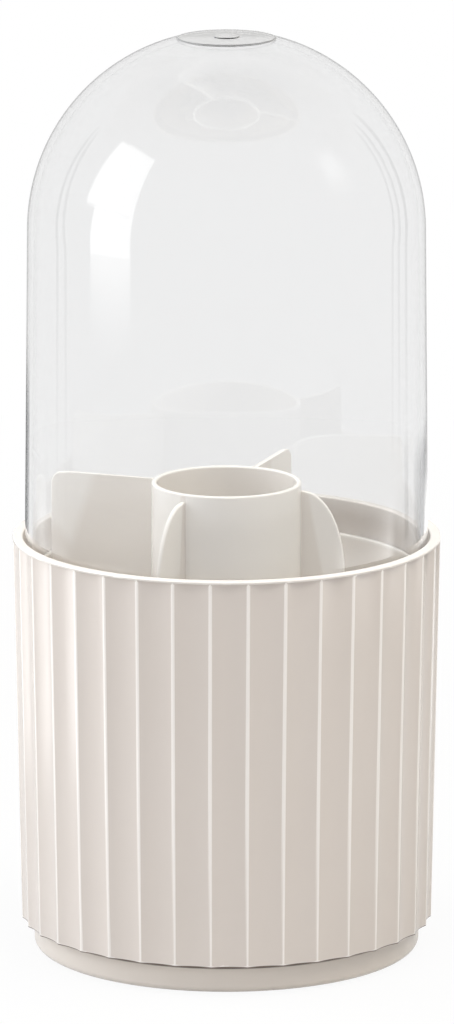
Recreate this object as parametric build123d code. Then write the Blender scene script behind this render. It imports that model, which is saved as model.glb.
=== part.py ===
from build123d import *
import math
import os

# A rotating makeup organizer: a fluted cup that turns on a low round foot,
# a lift-out divider with a tube for brushes, and a clear domed cover.
# Millimetres. The origin is at the centre of the foot, on the surface it
# stands on. Azimuth is counted from the front, -Y, and grows towards +X.

# Foot
pad_proud = 0.5
base_setback = 3.7
base_height = 8.0
base_wall = 2.2
base_deck = 2.0
base_lower_round = 2.0
base_upper_bevel = 0.4
rib_count = 8
rib_thickness = 1.4
rib_setback = 1.6
track_web_width = 8.0
track_web_depth = 1.3
boss_radius = 7.0
boss_setback = 0.8

# Pads under the foot
pad_count = 4
pad_setback = 10.2
pad_radius = 5.5
pad_thickness = 1.6
pad_side_gap = 0.2
pad_seat_wall = 1.3
pad_bevel = 0.3

# Ball bearing between the foot and the cup
ball_count = 12
ball_radius = 1.8
track_circle = 36.0
track_clearance = 0.1
cage_thickness = 1.0
cage_width = 9.0
cage_gap = 0.3
pocket_clearance = 0.2

# Pivot at the centre
post_radius = 5.0
post_clearance = 0.05
hub_wall = 3.6
hub_collar = 1.2
washer_gap = 0.3
washer_overlap = 3.2
washer_thickness = 1.0
screw_radius = 1.75
screw_clearance = 0.05
screw_length = 11.0
screw_head_radius = 3.4
screw_head_height = 2.2
screw_head_bevel = 0.8
screw_tip_bevel = 0.8
drive_width = 0.9
drive_length = 4.0
drive_depth = 1.2

# Fluted cup
turning_gap = 0.4
cup_height = 113.7
cup_rim_radius = 62.0
cup_taper = 2.1
cup_rim_wall = 3.05
cup_foot_wall = 3.0
cup_floor = 2.4
cup_skirt_wall = 5.2
rim_band = 1.1
rim_outer_round = 0.4
rim_inner_round = 0.5
flute_count = 36
flute_radius = 18.5
flute_phase = 0.75
arris_land = 0.45

# Clear domed cover
dome_edge_depth = 9.9
dome_clearance = 0.45
dome_wall = 2.0
dome_straight = 99.5
dome_draft = 1.2
dome_disc_radius = 14.0
dome_disc_step = 0.2
dome_disc_wall = 2.0
gate_radius = 3.7
gate_height = 0.35
dome_edge_bevel = 0.3

# Lift-out divider
seat_gap = 0.3
insert_floor_gap = 0.3
insert_side_gap = 0.4
insert_wall = 2.0
insert_floor = 1.8
insert_corner_bevel = 1.0
bore_run = 2.0
tube_rim_above_cup = 15.8
tube_radius = 21.7
tube_wall = 1.5
tube_outer_draft = 0.4
tube_inner_draft = 0.4
tube_rim_round = 0.6
tube_floor = 1.8
screw_cover_gap = 0.8
fin_thickness = 1.5
fin_edge_bevel = 0.4
fin_root = 0.7
low_fin_azimuths = (-35.0, 85.0)
low_fin_top_drop = 2.4
low_fin_flat = 0.2
low_fin_reach = 12.4
low_fin_fall = 24.0
low_fin_shelf_drop = 32.4
low_fin_sweep = 12.0
tall_fin_azimuths = (-110.0, 160.0)
tall_fin_top_drop = 0.9
tall_fin_dome_gap = 1.2
tall_fin_corner = 4.0
tall_fin_join = 1.2

# Levels worked out from the sizes above
base_deck_z = pad_proud + base_height
cup_foot_z = base_deck_z + turning_gap
cup_rim_z = cup_foot_z + cup_height
ball_centre_z = base_deck_z + cage_gap + cage_thickness / 2
cup_underside_z = base_deck_z + 2 * cage_gap + cage_thickness
cup_floor_z = cup_underside_z + cup_floor
hub_top_z = cup_floor_z + hub_collar
post_top_z = hub_top_z + washer_gap
screw_seat_z = post_top_z + washer_thickness
screw_top_z = screw_seat_z + screw_head_height
insert_base_z = cup_floor_z + insert_floor_gap
insert_floor_z = insert_base_z + insert_floor
tube_floor_under_z = screw_top_z + screw_cover_gap
tube_floor_z = tube_floor_under_z + tube_floor
tube_rim_z = cup_rim_z + tube_rim_above_cup
dome_edge_z = cup_rim_z - dome_edge_depth
insert_wall_z = dome_edge_z - seat_gap
bore_foot_z = insert_wall_z - bore_run
low_fin_shelf_z = insert_wall_z - low_fin_shelf_drop
dome_centre_z = dome_edge_z + dome_straight

# Radii worked out from the sizes above, all of them set back from the cup's rim
cup_foot_radius = cup_rim_radius - cup_taper
base_radius = cup_foot_radius - base_setback
pad_circle = base_radius - pad_setback
cup_bore = cup_rim_radius - cup_rim_wall
cup_floor_radius = cup_foot_radius - cup_foot_wall
dome_edge_radius = cup_bore - dome_clearance
dome_ball_radius = dome_edge_radius - dome_draft
insert_foot_radius = cup_floor_radius - insert_side_gap
track_groove = ball_radius + track_clearance


def around(count, start=0.0):
    """The angles of a full circle of copies, in degrees from +X."""
    return [start + 360.0 * step / count for step in range(count)]


def toward(azimuth):
    """Turns an azimuth from the front into an angle from +X."""
    return azimuth - 90.0


def plate_in_rz(outline, thickness):
    """A flat plate whose outline lies in radius and height, centred on the XZ plane."""
    return extrude(Plane.XZ * make_face(outline), amount=thickness / 2, both=True)


def turned(outline):
    """A solid of revolution from a closed outline in radius and height."""
    return revolve(Plane.XZ * make_face(outline), axis=Axis.Z)


def edges_at(solid, radius, height, reach=0.05):
    """The circular edges of a turned solid at one radius and height."""
    found = []
    for edge in solid.edges().filter_by(GeomType.CIRCLE):
        if abs(edge.radius - radius) < reach and abs(edge.arc_center.Z - height) < reach:
            found.append(edge)
    return found


def ball_track():
    """The ring-shaped channel that the balls run in, as a cutter for both races."""
    channel = Cylinder(track_circle + track_groove, 2 * track_groove)
    channel -= Cylinder(track_circle - track_groove, 2 * track_groove)
    return Pos(0, 0, ball_centre_z) * channel


def base_plate():
    """The foot: a shallow inverted tray with ribs, pad seats, the lower race and the pivot post."""
    deck_under_z = base_deck_z - base_deck
    outline = Polyline(
        (0, base_deck_z),
        (base_radius, base_deck_z),
        (base_radius, pad_proud),
        (base_radius - base_wall, pad_proud),
        (base_radius - base_wall, deck_under_z),
        (0, deck_under_z),
        close=True,
    )
    tray = turned(outline)
    tray = fillet(edges_at(tray, base_radius, pad_proud), min(base_lower_round, base_wall * 0.95))
    tray = chamfer(edges_at(tray, base_radius, base_deck_z), base_upper_bevel)

    web_height = base_deck + track_web_depth
    web_inner = track_circle - track_web_width / 2
    web_outer = track_circle + track_web_width / 2
    web = Pos(0, 0, base_deck_z - web_height / 2) * (
        Cylinder(web_outer, web_height) - Cylinder(web_inner, web_height)
    )

    rib_height = base_height - rib_setback
    rib_reach = base_radius - base_wall / 2
    ribs = Part()
    for angle in around(rib_count, 180.0 / rib_count):
        rib = Pos(rib_reach / 2, 0, base_deck_z - rib_height / 2) * Box(rib_reach, rib_thickness, rib_height)
        ribs += Rot(0, 0, angle) * rib

    boss_height = base_height - boss_setback
    boss = Pos(0, 0, base_deck_z - boss_height / 2) * Cylinder(boss_radius, boss_height)
    post_height = post_top_z - base_deck_z + base_deck
    post = Pos(0, 0, post_top_z - post_height / 2) * Cylinder(post_radius, post_height)

    seat_radius = pad_radius + pad_side_gap
    seat_outer = seat_radius + pad_seat_wall
    seat_lip_z = pad_thickness / 2
    seat_top_z = base_deck_z - base_deck / 2
    seats = Part()
    recesses = Part()
    for angle in around(pad_count):
        at = Rot(0, 0, angle) * Pos(pad_circle, 0, 0)
        seats += at * Pos(0, 0, (seat_lip_z + seat_top_z) / 2) * Cylinder(seat_outer, seat_top_z - seat_lip_z)
        recesses += at * Pos(0, 0, pad_thickness / 2) * Cylinder(seat_radius, pad_thickness)

    pilot_depth = screw_length + screw_clearance
    pilot = Pos(0, 0, post_top_z - pilot_depth / 2) * Cylinder(screw_radius + screw_clearance, pilot_depth)
    body = tray + web + ribs + boss + post + seats
    return body - ball_track() - recesses - pilot


def foot_pad(angle):
    """One soft pad, pressed into its seat under the foot and standing proud of it."""
    pad = Pos(0, 0, pad_thickness / 2) * Cylinder(pad_radius, pad_thickness)
    pad = chamfer(pad.edges().group_by(Axis.Z)[0], pad_bevel)
    return Rot(0, 0, angle) * Pos(pad_circle, 0, 0) * pad


def ball_cage():
    """The flat ring that keeps the balls evenly spaced on the track."""
    ring = Cylinder(track_circle + cage_width / 2, cage_thickness)
    ring -= Cylinder(track_circle - cage_width / 2, cage_thickness)
    for angle in around(ball_count):
        ring -= Rot(0, 0, angle) * Pos(track_circle, 0, 0) * Cylinder(
            ball_radius + pocket_clearance, cage_thickness
        )
    return Pos(0, 0, ball_centre_z) * ring


def bearing_ball(angle):
    """One steel ball, in its pocket on the track circle."""
    return Rot(0, 0, angle) * Pos(track_circle, 0, ball_centre_z) * Sphere(ball_radius)


def pivot_washer():
    """The washer that holds the cup down: it seats on the post and laps over the cup's hub."""
    outer = post_radius + washer_overlap
    washer = Cylinder(outer, washer_thickness) - Cylinder(screw_radius + screw_clearance, washer_thickness)
    return Pos(0, 0, post_top_z + washer_thickness / 2) * washer


def pivot_screw():
    """The pan-head screw that runs down into the post, with a cross-shaped drive."""
    head = Pos(0, 0, screw_seat_z + screw_head_height / 2) * Cylinder(screw_head_radius, screw_head_height)
    head = chamfer(head.edges().group_by(Axis.Z)[-1], screw_head_bevel)
    shank_length = screw_length + washer_thickness
    shank = Pos(0, 0, screw_seat_z - shank_length / 2) * Cylinder(screw_radius, shank_length)
    shank = chamfer(shank.edges().group_by(Axis.Z)[0], screw_tip_bevel)
    slot = Box(drive_length, drive_width, drive_depth) + Box(drive_width, drive_length, drive_depth)
    return head + shank - Pos(0, 0, screw_top_z - drive_depth / 2) * slot


def cup_radius_at(height):
    """The radius over the arrises at a height, on the cup's straight taper."""
    share = (height - cup_foot_z) / cup_height
    return cup_foot_radius + (cup_rim_radius - cup_foot_radius) * share


def flute_centre(height):
    """Where a flute's round is centred at a height, so that the arrises beside it keep one width."""
    radius = cup_radius_at(height)
    half_angle = math.pi / flute_count - arris_land / 2 / radius
    half_chord = radius * math.sin(half_angle)
    across = radius * math.cos(half_angle) + math.sqrt(flute_radius**2 - half_chord**2)
    return Vector(across, 0, height)


def flute_cutter(low_z, high_z):
    """One long round bar that follows the cup's taper and runs out past both levels."""
    low = flute_centre(low_z)
    lean = flute_centre(high_z) - low
    start = low - lean * 0.1
    bar = Plane(origin=start, z_dir=lean) * Circle(flute_radius)
    return extrude(bar, amount=lean.length * 1.2)


def fluted_cup():
    """The cup: flutes under a plain rim band, a bore for the dome, and a floor with hub and race."""
    band_z = cup_rim_z - rim_band
    skin_outline = Polyline(
        (0, cup_foot_z),
        (cup_foot_radius, cup_foot_z),
        (cup_radius_at(band_z), band_z),
        (0, band_z),
        close=True,
    )
    cutter = flute_cutter(cup_foot_z, band_z)
    flutes = turned(skin_outline) - [Rot(0, 0, angle) * cutter for angle in around(flute_count, flute_phase)]
    band_outline = Polyline(
        (0, band_z),
        (cup_radius_at(band_z), band_z),
        (cup_rim_radius, cup_rim_z),
        (0, cup_rim_z),
        close=True,
    )
    band = turned(band_outline)
    band = fillet(edges_at(band, cup_rim_radius, cup_rim_z), rim_outer_round)

    cavity_outline = Polyline(
        (0, cup_floor_z),
        (cup_floor_radius, cup_floor_z),
        (cup_bore, bore_foot_z),
        (cup_bore, cup_rim_z),
        (cup_rim_radius, cup_rim_z),
        (cup_rim_radius, cup_rim_z + cup_rim_wall),
        (0, cup_rim_z + cup_rim_wall),
        close=True,
    )
    cavity = turned(cavity_outline)
    cavity = fillet(edges_at(cavity, cup_bore, cup_rim_z), rim_inner_round)

    relief_radius = cup_foot_radius - cup_skirt_wall
    relief_height = cup_underside_z - cup_foot_z
    relief = Pos(0, 0, cup_foot_z + relief_height / 2) * Cylinder(relief_radius, relief_height)
    hub_bore = post_radius + post_clearance
    hub_height = hub_top_z - cup_underside_z
    hub = Pos(0, 0, cup_underside_z + hub_height / 2) * Cylinder(hub_bore + hub_wall, hub_height)
    hole = Pos(0, 0, cup_underside_z + hub_height / 2) * Cylinder(hub_bore, hub_height)
    return flutes + band - cavity - relief + hub - hole - ball_track()


def tangent_point(edge_radius, edge_height, ball_radius_here):
    """Where a straight wall from the edge runs smoothly into a ball on the dome's centre."""
    rise = edge_height - dome_centre_z
    distance = math.hypot(edge_radius, rise)
    angle = math.atan2(rise, edge_radius) + math.acos(ball_radius_here / distance)
    return ball_radius_here * math.cos(angle), dome_centre_z + ball_radius_here * math.sin(angle), angle


def dome_skin(edge_radius, ball_radius_here, flat_radius):
    """The straight wall and the round of one skin of the dome, from its edge up to its flat top."""
    wall_r, wall_z, angle = tangent_point(edge_radius, dome_edge_z, ball_radius_here)
    flat_angle = math.acos(flat_radius / ball_radius_here)
    middle = (angle + flat_angle) / 2
    flat_z = dome_centre_z + ball_radius_here * math.sin(flat_angle)
    wall = Line((edge_radius, dome_edge_z), (wall_r, wall_z))
    crown = ThreePointArc(
        (wall_r, wall_z),
        (ball_radius_here * math.cos(middle), dome_centre_z + ball_radius_here * math.sin(middle)),
        (flat_radius, flat_z),
    )
    return wall, crown, flat_z


def dome_cover():
    """The clear cover: a drafted tube under a half ball, with a flat disc and gate mark on top."""
    outer_wall, outer_crown, outer_flat_z = dome_skin(dome_edge_radius, dome_ball_radius, dome_disc_radius)
    disc_z = outer_flat_z + dome_disc_step
    inner_ball = dome_ball_radius - dome_wall
    inner_rise = disc_z - dome_disc_wall - dome_centre_z
    inner_flat = math.sqrt(inner_ball**2 - inner_rise**2)
    inner_wall, inner_crown, inner_flat_z = dome_skin(dome_edge_radius - dome_wall, inner_ball, inner_flat)
    top = Polyline(
        (dome_disc_radius, outer_flat_z),
        (dome_disc_radius, disc_z),
        (gate_radius, disc_z),
        (gate_radius, disc_z + gate_height),
        (0, disc_z + gate_height),
        (0, inner_flat_z),
        (inner_flat, inner_flat_z),
    )
    edge = Line((dome_edge_radius - dome_wall, dome_edge_z), (dome_edge_radius, dome_edge_z))
    dome = turned([outer_wall, outer_crown, top, inner_crown, inner_wall, edge])
    return chamfer(dome.edges().group_by(Axis.Z)[0], dome_edge_bevel)


def insert_shell():
    """The divider's round parts: outer wall, floor, brush tube and the raised floor inside it."""
    wall_top_radius = cup_bore - insert_side_gap
    tube_foot_radius = tube_radius + tube_outer_draft
    tube_bore_rim = tube_radius - tube_wall
    tube_bore_foot = tube_bore_rim - tube_inner_draft
    outline = Polyline(
        (tube_bore_foot, insert_base_z),
        (insert_foot_radius, insert_base_z),
        (wall_top_radius, bore_foot_z),
        (wall_top_radius, insert_wall_z),
        (wall_top_radius - insert_wall, insert_wall_z),
        (wall_top_radius - insert_wall, bore_foot_z),
        (insert_foot_radius - insert_wall, insert_floor_z),
        (tube_foot_radius, insert_floor_z),
        (tube_radius, tube_rim_z),
        (tube_bore_rim, tube_rim_z),
        (tube_bore_foot, tube_floor_z),
        (0, tube_floor_z),
        (0, tube_floor_under_z),
        (tube_bore_foot, tube_floor_under_z),
        close=True,
    )
    shell = turned(outline)
    shell = chamfer(edges_at(shell, insert_foot_radius, insert_base_z), insert_corner_bevel)
    shell = fillet(edges_at(shell, tube_radius, tube_rim_z), tube_rim_round)
    return fillet(edges_at(shell, tube_bore_rim, tube_rim_z), tube_rim_round)


def insert_wall_middle(height):
    """The radius half way through the divider's outer wall, on its taper."""
    foot = insert_foot_radius - insert_wall / 2
    taper = (cup_bore - insert_side_gap - insert_foot_radius) / (bore_foot_z - insert_floor_z)
    return foot + taper * min(height - insert_floor_z, bore_foot_z - insert_floor_z)


def bevelled_fin(outline):
    """A fin plate whose free edge, above its foot, is bevelled on both sides."""
    fin = plate_in_rz(outline, fin_thickness)
    free = []
    for edge in fin.edges():
        box = edge.bounding_box()
        if box.size.Y < fin_edge_bevel and box.min.Z > insert_floor_z:
            free.append(edge)
    return chamfer(free, fin_edge_bevel)


def low_fin():
    """A fin that falls from the tube in a quarter ellipse, then sweeps out to a low shelf."""
    root = tube_radius - fin_root
    top_z = tube_rim_z - low_fin_top_drop
    crest = tube_radius + low_fin_flat
    neck = crest + low_fin_reach
    shelf_end = insert_wall_middle(low_fin_shelf_z)
    foot_z = insert_floor_z - fin_root
    outline = [
        Line((root, foot_z), (root, top_z)),
        Line((root, top_z), (crest, top_z)),
        EllipticalCenterArc((crest, top_z - low_fin_fall), low_fin_reach, low_fin_fall, arc_size=90),
        Line((neck, top_z - low_fin_fall), (neck, low_fin_shelf_z + low_fin_sweep)),
        CenterArc((neck + low_fin_sweep, low_fin_shelf_z + low_fin_sweep), low_fin_sweep, 180, 90),
        Line((neck + low_fin_sweep, low_fin_shelf_z), (shelf_end, low_fin_shelf_z)),
        Line((shelf_end, low_fin_shelf_z), (insert_wall_middle(foot_z), foot_z)),
        Line((insert_wall_middle(foot_z), foot_z), (root, foot_z)),
    ]
    return bevelled_fin(outline)


def tall_fin():
    """A fin level with the tube's rim, which stands just inside the dome and joins the wall below it."""
    root = tube_radius - fin_root
    top_z = tube_rim_z - tall_fin_top_drop
    tip = dome_edge_radius - dome_wall - tall_fin_dome_gap
    join_z = insert_wall_z - tall_fin_join
    foot_z = insert_floor_z - fin_root
    outline = [
        Line((root, foot_z), (root, top_z)),
        Line((root, top_z), (tip - tall_fin_corner, top_z)),
        CenterArc((tip - tall_fin_corner, top_z - tall_fin_corner), tall_fin_corner, 0, 90),
        Line((tip, top_z - tall_fin_corner), (tip, join_z)),
        Line((tip, join_z), (insert_wall_middle(join_z), join_z)),
        Line((insert_wall_middle(join_z), join_z), (insert_wall_middle(foot_z), foot_z)),
        Line((insert_wall_middle(foot_z), foot_z), (root, foot_z)),
    ]
    return bevelled_fin(outline)


def divider_insert():
    """The lift-out divider in one moulding: round shell, two low fins and two tall ones."""
    insert = insert_shell()
    for azimuth in low_fin_azimuths:
        insert += Rot(0, 0, toward(azimuth)) * low_fin()
    for azimuth in tall_fin_azimuths:
        insert += Rot(0, 0, toward(azimuth)) * tall_fin()
    return insert


def write(shape, name):
    """Writes one piece and prints its volume."""
    export_step(shape, f"parts/{name}.step")
    print(name, round(shape.volume, 1))


os.makedirs("parts", exist_ok=True)
write(base_plate(), "base_plate")
for number, angle in enumerate(around(pad_count), 1):
    write(foot_pad(angle), f"foot_pad_{number}")
write(ball_cage(), "ball_cage")
for number, angle in enumerate(around(ball_count), 1):
    write(bearing_ball(angle), f"bearing_ball_{number:02d}")
write(pivot_washer(), "pivot_washer")
write(pivot_screw(), "pivot_screw")
write(fluted_cup(), "fluted_cup")
write(divider_insert(), "divider_insert")
write(dome_cover(), "dome_cover")
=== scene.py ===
# %% [markdown]
# # A rotating makeup organizer
#
# The object is a fluted cup that turns on a low round foot. A divider with a tube for brushes
# lifts out of the cup, and a clear domed cover stands on the divider's wall. Its construction,
# with every size, fit and joint, is settled in the frame that the next cell loads. This lesson
# models the surfaces that show, around that frame, and gives every piece its finish.

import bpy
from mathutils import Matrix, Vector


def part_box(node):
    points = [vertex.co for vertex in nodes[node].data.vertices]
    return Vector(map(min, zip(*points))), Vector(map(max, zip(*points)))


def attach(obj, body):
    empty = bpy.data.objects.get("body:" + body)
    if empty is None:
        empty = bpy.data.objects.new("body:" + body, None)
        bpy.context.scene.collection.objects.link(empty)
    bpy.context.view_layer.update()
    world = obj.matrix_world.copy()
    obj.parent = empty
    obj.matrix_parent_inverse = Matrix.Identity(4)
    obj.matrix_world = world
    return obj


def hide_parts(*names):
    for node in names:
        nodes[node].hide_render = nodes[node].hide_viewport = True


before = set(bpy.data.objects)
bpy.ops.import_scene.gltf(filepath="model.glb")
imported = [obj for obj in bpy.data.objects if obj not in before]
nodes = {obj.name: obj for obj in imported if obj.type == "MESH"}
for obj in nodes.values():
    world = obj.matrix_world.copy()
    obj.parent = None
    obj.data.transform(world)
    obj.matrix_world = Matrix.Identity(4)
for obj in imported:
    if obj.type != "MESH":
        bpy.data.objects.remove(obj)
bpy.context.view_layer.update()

# %% [markdown]
# Sizes are written in millimetres, as on a drawing, and turned into Blender's metres by MM.
# The outer sizes come from the frame, so that a dressed piece can't drift away from its solid.

# %% Units and the sizes that the frame gives
import math

import bmesh
import bpy
from mathutils import Matrix, Vector

MM = 0.001


def mm(*values):
    """Millimetres as Blender's metres."""
    return tuple(value * MM for value in values)


def half_width(node):
    """A round node's radius, as the smallest of its four reaches from the axis."""
    low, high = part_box(node)
    return min(-low.x, -low.y, high.x, high.y)


cup_low, cup_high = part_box("fluted_cup")
dome_low, dome_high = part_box("dome_cover")
divider_low, divider_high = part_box("divider_insert")
foot_low, foot_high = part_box("base_plate")
rim_radius = half_width("fluted_cup")
foot_radius = half_width("base_plate")
dome_edge_radius = half_width("dome_cover")
divider_radius = half_width("divider_insert")
print("cup", round(rim_radius / MM, 2), "dome edge", round(dome_edge_radius / MM, 2), "mm")

# %% [markdown]
# Nearly every piece here is turned on one axis, as on a lathe. The way to model such a piece by
# hand is to draw half of its section as a chain of points and to spin the chain round the axis.
# Straight runs are extruded from the last point, and round runs are spun about their own centre.
# The alternative, a stack of cylinders, would leave walls inside and no true curves.

# %% Helpers that draw a section and spin it
AXIS_Z = (0.0, 0.0, 1.0)
AXIS_Y = (0.0, 1.0, 0.0)
ORIGIN = (0.0, 0.0, 0.0)
WELD = 0.00001
DEGENERATE = WELD / 10


def nothing_selected():
    """Leaves edit mode and drops the selection, because an operator acts on all that is selected."""
    if bpy.context.object and bpy.context.object.mode == "EDIT":
        bpy.ops.object.mode_set(mode="OBJECT")
    bpy.ops.object.select_all(action="DESELECT")


def take(piece):
    """Makes a piece the only one that the next operator acts on."""
    nothing_selected()
    bpy.context.view_layer.objects.active = piece
    piece.select_set(True)


def open_up(piece):
    """Takes a piece into edit mode."""
    take(piece)
    bpy.ops.object.mode_set(mode="EDIT")


def select_all():
    """Selects the whole mesh in edit mode."""
    bpy.ops.mesh.select_all(action="SELECT")


def faces_outward():
    """Points every face of the mesh in edit mode outwards."""
    select_all()
    bpy.ops.mesh.normals_make_consistent(inside=False)


def extrude_by(step):
    """Extrudes what is selected by a step in metres."""
    bpy.ops.mesh.extrude_region_move(TRANSFORM_OT_translate={"value": step})


def widen(share):
    """Scales what is selected in plan, about the axis."""
    bpy.ops.transform.resize(value=(share, share, 1.0), center_override=ORIGIN)


def first_point(name, radius, height):
    """Starts a section: a plane that is merged to one point, left open in edit mode."""
    nothing_selected()
    bpy.ops.mesh.primitive_plane_add(size=MM)
    piece = bpy.context.object
    piece.name = piece.data.name = name
    bpy.ops.object.mode_set(mode="EDIT")
    bpy.ops.mesh.select_mode(type="VERT")
    bpy.ops.mesh.merge(type="CENTER")
    bpy.ops.transform.translate(value=mm(radius, 0.0, height))
    return piece


def pen_place(piece):
    """Where the chain's last point is, in millimetres."""
    for point in bmesh.from_edit_mesh(piece.data).verts:
        if point.select:
            return point.co / MM
    raise RuntimeError(f"{piece.name} has no last point")


def line_to(piece, radius, height):
    """Extrudes the last point in a straight run to a new radius and height."""
    here = pen_place(piece)
    extrude_by(Vector((radius - here.x, 0.0, height - here.z)) * MM)


def lines_to(piece, corners):
    """Extrudes the last point through several corners in turn."""
    for radius, height in corners:
        line_to(piece, radius, height)


def arc_round(centre_radius, centre_height, degrees, steps):
    """Spins the last point about a centre, in the section's plane, upwards for positive degrees."""
    bpy.ops.mesh.spin(
        steps=steps, angle=math.radians(degrees), center=mm(centre_radius, 0.0, centre_height), axis=AXIS_Y
    )


def close_up():
    """Welds doubled points, drops what has no size, turns the faces outwards, leaves edit mode."""
    select_all()
    bpy.ops.mesh.remove_doubles(threshold=WELD)
    bpy.ops.mesh.dissolve_degenerate(threshold=DEGENERATE)
    faces_outward()
    bpy.ops.object.mode_set(mode="OBJECT")


def turn_section(steps):
    """Spins the whole section round the Z axis and closes the piece."""
    select_all()
    bpy.ops.mesh.spin(steps=steps, angle=math.tau, center=ORIGIN, axis=AXIS_Z, use_auto_merge=True)
    close_up()


def select_edges(piece, wanted):
    """Selects, in edit mode, just the edges for which a test holds."""
    bpy.ops.mesh.select_mode(type="EDGE")
    bpy.ops.mesh.select_all(action="DESELECT")
    for edge in bmesh.from_edit_mesh(piece.data).edges:
        edge.select_set(wanted(edge))
    bmesh.update_edit_mesh(piece.data)


def round_edges(piece, wanted, size, segments=4):
    """Rounds the edges for which a test holds, as a mould's corners are, and leaves edit mode."""
    select_edges(piece, wanted)
    bpy.ops.mesh.bevel(offset=size * MM, segments=segments, affect="EDGES")
    bpy.ops.object.mode_set(mode="OBJECT")


def round_rings(piece, rings, size, segments=4, reach=0.04):
    """Rounds the edges on circles round the axis, given as radius and height in millimetres."""

    def on_a_ring(edge):
        ends = [(math.hypot(p.co.x, p.co.y) / MM, p.co.z / MM) for p in edge.verts]
        return any(
            all(abs(r - radius) < reach and abs(z - height) < reach for r, z in ends)
            for radius, height in rings
        )

    open_up(piece)
    round_edges(piece, on_a_ring, size, segments)


def smooth(piece, sharp_from=35.0):
    """Shades the piece smooth but for sharp edges, and lets its large faces set the normals.

    Without the second step, a small round at the end of a long wall would tilt the wall's normals
    over its whole length, which bends what a clear wall shows and makes a flat one look bulged.
    """
    take(piece)
    bpy.ops.object.shade_smooth_by_angle(angle=math.radians(sharp_from))
    even = piece.modifiers.new("even_normals", "WEIGHTED_NORMAL")
    even.mode = "FACE_AREA"
    even.keep_sharp = True
    bpy.ops.object.modifier_apply(modifier=even.name)


def report(piece):
    """Prints a finished piece's name and its triangle count."""
    piece.data.calc_loop_triangles()
    print(piece.name, len(piece.data.loop_triangles), "triangles")


print("helpers ready")

# %% [markdown]
# The foot is a shallow tray upside down, moulded in the cup's plastic. Its section has the thin
# outer wall, the deck, a thickened web with the lower half of the ball track, the pivot post and
# its pilot hole. The underside has eight ribs and four pad seats. A ring and a disc would look
# the same from above, but the part is handled and turned over, so the whole moulding is made.

# %% Turn the foot's section
FOOT_WALL = 2.2
FOOT_DECK = 2.0
FOOT_LOWER_ROUND = 1.95
FOOT_UPPER_ROUND = 0.4
FOOT_INNER_ROUND = 0.8
DECK_TOP = 8.5
POST_RADIUS = 5.0
POST_TOP = foot_high.z / MM
PILOT_RADIUS = 1.8
PILOT_FLOOR = POST_TOP - 11.05
BOSS_RADIUS = 7.0
BOSS_FLOOR = 1.3
TRACK_CIRCLE = 36.0
TRACK_GROOVE = 1.9
TRACK_MIDDLE = 9.3
WEB_HALF = 4.0
WEB_FLOOR = 5.2
TURNS = 144

foot_outer = foot_radius / MM
foot_inner = foot_outer - FOOT_WALL
foot_floor = foot_low.z / MM
deck_under = DECK_TOP - FOOT_DECK
track_inner = TRACK_CIRCLE - TRACK_GROOVE
track_outer = TRACK_CIRCLE + TRACK_GROOVE
track_floor = TRACK_MIDDLE - TRACK_GROOVE
web_inner = TRACK_CIRCLE - WEB_HALF
web_outer = TRACK_CIRCLE + WEB_HALF

foot = first_point("turned_foot", 0.0, PILOT_FLOOR)
lines_to(foot, [
    (PILOT_RADIUS, PILOT_FLOOR), (PILOT_RADIUS, POST_TOP), (POST_RADIUS, POST_TOP), (POST_RADIUS, DECK_TOP),
    (track_inner, DECK_TOP), (track_inner, track_floor), (track_outer, track_floor), (track_outer, DECK_TOP),
    (foot_outer, DECK_TOP), (foot_outer, foot_floor), (foot_inner, foot_floor), (foot_inner, deck_under),
    (web_outer, deck_under), (web_outer, WEB_FLOOR), (web_inner, WEB_FLOOR), (web_inner, deck_under),
    (BOSS_RADIUS, deck_under), (BOSS_RADIUS, BOSS_FLOOR), (0.0, BOSS_FLOOR),
])
turn_section(TURNS)
round_rings(foot, [(foot_outer, foot_floor)], FOOT_LOWER_ROUND, segments=8)
round_rings(foot, [(foot_outer, DECK_TOP)], FOOT_UPPER_ROUND)
round_rings(foot, [(foot_inner, deck_under)], FOOT_INNER_ROUND)
report(foot)

# %% [markdown]
# Ribs and pad seats are separate primitives, placed where the tray needs them and then joined
# into it by boolean modifiers, so that the moulding ends as one closed skin with nothing inside.

# %% Add the ribs and the pad seats
RIB_COUNT = 8
RIB_THICKNESS = 1.4
RIB_FLOOR = 2.1
PAD_COUNT = 4
PAD_CIRCLE = 46.0
PAD_RADIUS = 5.5
PAD_SEAT_RADIUS = 5.7
PAD_SEAT_WALL = 1.3
PAD_TOP = 1.6
SEAT_LIP = 0.8
SEAT_SIDES = 48
SKIN_LAP = 0.3


def settle(piece):
    """Moves a primitive's place and scale into its mesh, so that the object sits at the origin."""
    take(piece)
    bpy.ops.object.transform_apply(location=True, rotation=True, scale=True)
    return piece


def bar(middle, size):
    """A block, from its middle and its three widths in millimetres."""
    nothing_selected()
    bpy.ops.mesh.primitive_cube_add(size=1.0, location=mm(*middle), scale=mm(*size))
    return settle(bpy.context.object)


def upright_disc(radius, low, high, sides):
    """A round bar at the first pad's place, from one height to another."""
    nothing_selected()
    bpy.ops.mesh.primitive_cylinder_add(
        vertices=sides,
        radius=radius * MM,
        depth=(high - low) * MM,
        location=mm(PAD_CIRCLE, 0.0, (high + low) / 2),
    )
    return settle(bpy.context.object)


def ring_of(piece, count, start=0.0):
    """Joins copies of a piece, evenly spaced round the Z axis, into one mesh."""
    open_up(piece)
    select_all()
    if start:
        bpy.ops.transform.rotate(value=-math.radians(start), orient_axis="Z", center_override=ORIGIN)
    step = math.tau / count
    bpy.ops.mesh.spin(steps=count - 1, angle=step * (count - 1), center=ORIGIN, axis=AXIS_Z, dupli=True)
    faces_outward()
    bpy.ops.object.mode_set(mode="OBJECT")
    return piece


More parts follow.
